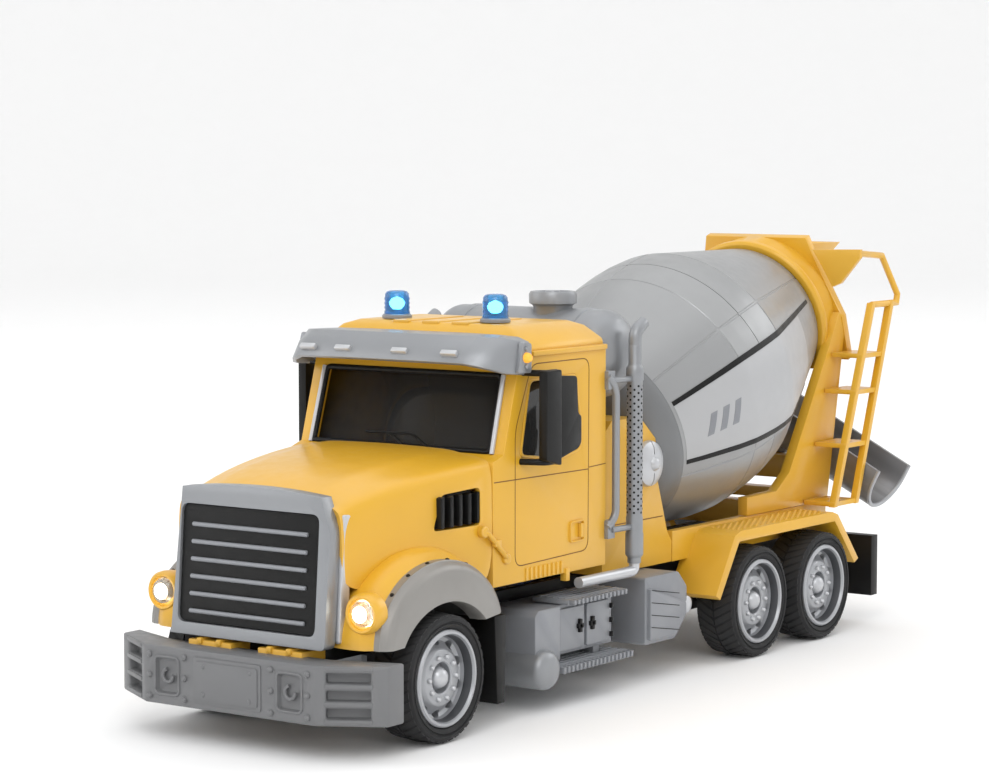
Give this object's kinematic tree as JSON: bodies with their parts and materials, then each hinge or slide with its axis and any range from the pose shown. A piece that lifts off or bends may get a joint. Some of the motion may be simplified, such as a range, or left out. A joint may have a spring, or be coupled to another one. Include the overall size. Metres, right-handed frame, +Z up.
{
  "type": "toy cement mixer",
  "caption": "Toy cement mixer truck with a bonneted cab, tilted turning drum, rear hopper, ladder, swinging chute and steered front wheels.",
  "frame": {"origin": "on the ground, under the centre of the truck's overall box", "axes": "+Z up, the truck faces -Y, its left side is +X"},
  "size_m": [0.11, 0.36, 0.1546],
  "materials": {
    "yellow_plastic": "satin moulded yellow plastic",
    "silver_paint": "satin silver paint over moulded plastic",
    "rim_silver": "satin silver paint over moulded plastic",
    "drum_paint": "metallic silver paint over moulded plastic",
    "bumper_grey": "matt grey moulded plastic",
    "black_plastic": "matt black moulded plastic",
    "tyre_rubber": "soft matt rubber",
    "beacon_lens": "clear blue moulded lens",
    "tinted_glass": "dark tinted clear plastic",
    "lamp_lens": "clear lamp lens",
    "steel": "bright steel",
    "gear_nylon": "natural nylon",
    "board_green": "green circuit board",
    "battery_wrap": "shrink-wrapped cells"
  },
  "bodies": {
    "chassis": {"arch_liner": "black_plastic", "battery_door": "black_plastic", "battery_pack": "battery_wrap", "beacon_left": "beacon_lens", "beacon_right": "beacon_lens", "cab_glazing": "tinted_glass", "cab_interior": "black_plastic", "cab_roof": "yellow_plastic", "cab_shell": "yellow_plastic", "chassis_frame": "black_plastic", "circuit_board": "board_green", "drive_motor": "steel", "drum_motor": "steel", "drum_pedestal": "yellow_plastic", "exhaust_stack_left": "silver_paint", "exhaust_stack_right": "silver_paint", "fender_flare_left": "silver_paint", "fender_flare_right": "silver_paint", "front_bumper": "bumper_grey", "grille_insert": "black_plastic", "grille_surround": "silver_paint", "headlight_left": "lamp_lens", "headlight_right": "lamp_lens", "hood_shell": "yellow_plastic", "hopper": "yellow_plastic", "ladder": "yellow_plastic", "mirror_left": "black_plastic", "mirror_right": "black_plastic", "rear_deck": "yellow_plastic", "rear_frame": "yellow_plastic", "running_board_left": "silver_paint", "running_board_right": "silver_paint", "steering_motor": "black_plastic", "sun_visor": "silver_paint", "water_tank": "silver_paint"},
    "left_knuckle": {"knuckle_left": "black_plastic"},
    "right_knuckle": {"knuckle_right": "black_plastic"},
    "front_left_wheel": {"rim_front_left": "rim_silver", "tyre_front_left": "tyre_rubber"},
    "front_right_wheel": {"rim_front_right": "rim_silver", "tyre_front_right": "tyre_rubber"},
    "mid_wheels": {"axle_mid": "steel", "axle_gear": "gear_nylon", "rim_mid_left": "rim_silver", "rim_mid_right": "rim_silver", "tyre_mid_left": "tyre_rubber", "tyre_mid_right": "tyre_rubber"},
    "rear_wheels": {"axle_rear": "steel", "rim_rear_left": "rim_silver", "rim_rear_right": "rim_silver", "tyre_rear_left": "tyre_rubber", "tyre_rear_right": "tyre_rubber"},
    "drive_pinion": {"motor_pinion": "gear_nylon"},
    "drum": {"drum_front_shell": "drum_paint", "drum_rear_shell": "drum_paint", "drum_gear": "gear_nylon"},
    "drum_pinion_gear": {"drum_pinion": "gear_nylon"},
    "steering_link": {"tie_rod": "black_plastic"},
    "discharge_chute": {"chute": "bumper_grey"},
    "switch_knob": {"power_switch": "black_plastic"}
  },
  "joints": [
    {"name": "steer_left", "type": "hinge", "parent": "chassis", "child": "left_knuckle", "pos_m": [0.038, -0.1307, 0.021], "axis": [0, 0, 1], "range_deg": [-12, 12]},
    {"name": "steer_right", "type": "hinge", "parent": "chassis", "child": "right_knuckle", "pos_m": [-0.038, -0.1307, 0.021], "axis": [0, 0, 1], "range_deg": [-12.1, 12.1]},
    {"name": "steer_link", "type": "slide", "parent": "chassis", "child": "steering_link", "axis": [1, 0, 0], "range_m": [-0.00253, 0.00253]},
    {"name": "roll_front_left", "type": "hinge", "parent": "left_knuckle", "child": "front_left_wheel", "pos_m": [0.043, -0.1307, 0.021], "axis": [1, 0, 0], "continuous": true},
    {"name": "roll_front_right", "type": "hinge", "parent": "right_knuckle", "child": "front_right_wheel", "pos_m": [-0.043, -0.1307, 0.021], "axis": [1, 0, 0], "continuous": true},
    {"name": "roll_mid", "type": "hinge", "parent": "chassis", "child": "mid_wheels", "pos_m": [0, 0.065, 0.021], "axis": [1, 0, 0], "continuous": true},
    {"name": "roll_rear", "type": "hinge", "parent": "chassis", "child": "rear_wheels", "pos_m": [0, 0.1135, 0.021], "axis": [1, 0, 0], "continuous": true},
    {"name": "motor_pinion_spin", "type": "hinge", "parent": "chassis", "child": "drive_pinion", "pos_m": [0, 0.05782, 0.02818], "axis": [1, 0, 0], "continuous": true},
    {"name": "drum_spin", "type": "hinge", "parent": "chassis", "child": "drum", "pos_m": [0, 0.02, 0.0793], "axis": [0, 0.9483, 0.3173], "continuous": true},
    {"name": "drum_pinion_spin", "type": "hinge", "parent": "chassis", "child": "drum_pinion_gear", "pos_m": [0, 0.02592, 0.06161], "axis": [0, 0.9483, 0.3173], "continuous": true},
    {"name": "chute_swivel", "type": "hinge", "parent": "chassis", "child": "discharge_chute", "pos_m": [0, 0.165, 0.0676], "axis": [0, 0, 1], "range_deg": [0, 180]},
    {"name": "switch_slide", "type": "slide", "parent": "chassis", "child": "switch_knob", "axis": [0, 1, 0], "range_m": [-0.0015, 0.0015]}
  ],
  "couplings": [
    {"joint": "steer_right", "follows": "steer_left", "ratio": 1},
    {"joint": "steer_link", "follows": "steer_left", "m_per_rad": -0.012},
    {"joint": "motor_pinion_spin", "follows": "roll_mid", "ratio": -3},
    {"joint": "drum_pinion_spin", "follows": "drum_spin", "ratio": -3.6}
  ]
}
